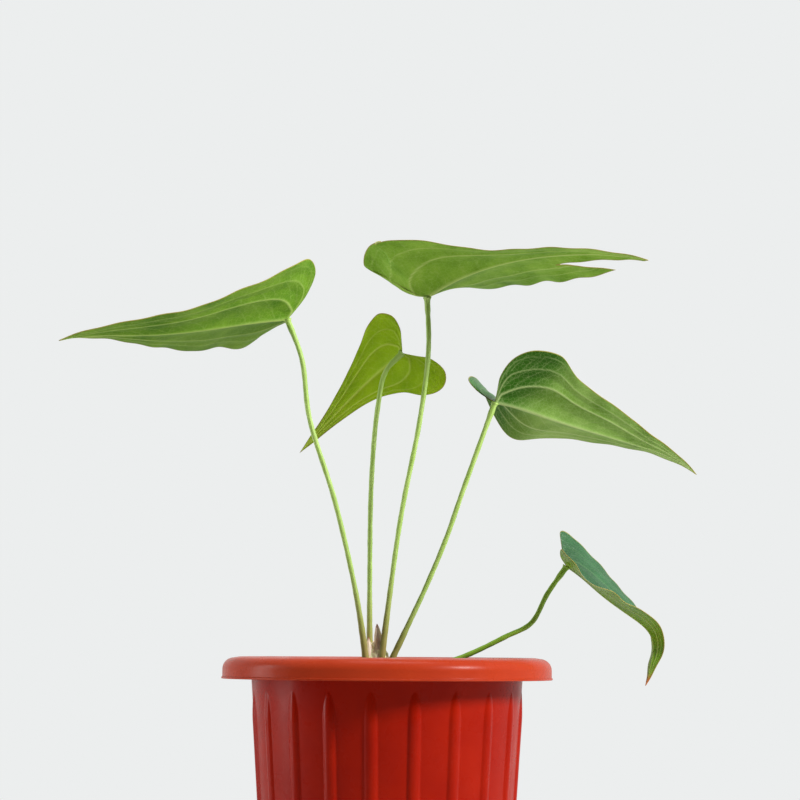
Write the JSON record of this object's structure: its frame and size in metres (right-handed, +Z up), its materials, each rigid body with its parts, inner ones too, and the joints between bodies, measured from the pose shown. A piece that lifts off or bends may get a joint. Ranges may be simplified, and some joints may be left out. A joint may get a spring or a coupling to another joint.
{
  "type": "potted anthurium",
  "caption": "Potted anthurium: heart-shaped leaves on slender stalks from a short crown in soil, in a round ribbed plastic pot with an overhanging rim.",
  "frame": {"origin": "centre of the pot's flat underside, on the surface the pot stands on", "axes": "+Z up along the pot's axis, -Y toward the viewer of the plant's front, +X to the viewer's right"},
  "size_m": [0.3845, 0.2, 0.4209],
  "materials": {
    "pot_plastic": "satin orange-red injection-moulded plastic",
    "soil": "loose dark potting mix of bark and peat",
    "crown": "rough green-brown stem",
    "bract": "dry papery brown",
    "petiole": "smooth satin light green",
    "blade": "glossy dark green above, matt lighter green with raised veins below",
    "pale_blade": "young yellow-green leaf",
    "aging_blade": "dark green folded leaf with a dry brown tip"
  },
  "bodies": {
    "root": {"pot": "pot_plastic", "soil": "soil", "crown": "crown", "bract_inner": "bract", "bract_outer": "bract", "petiole_left": "petiole", "petiole_top": "petiole", "petiole_middle": "petiole", "petiole_right": "petiole", "petiole_low": "petiole", "blade_left": "blade", "blade_top": "blade", "blade_middle": "pale_blade", "blade_right": "blade", "blade_low": "aging_blade"}
  },
  "joints": []
}
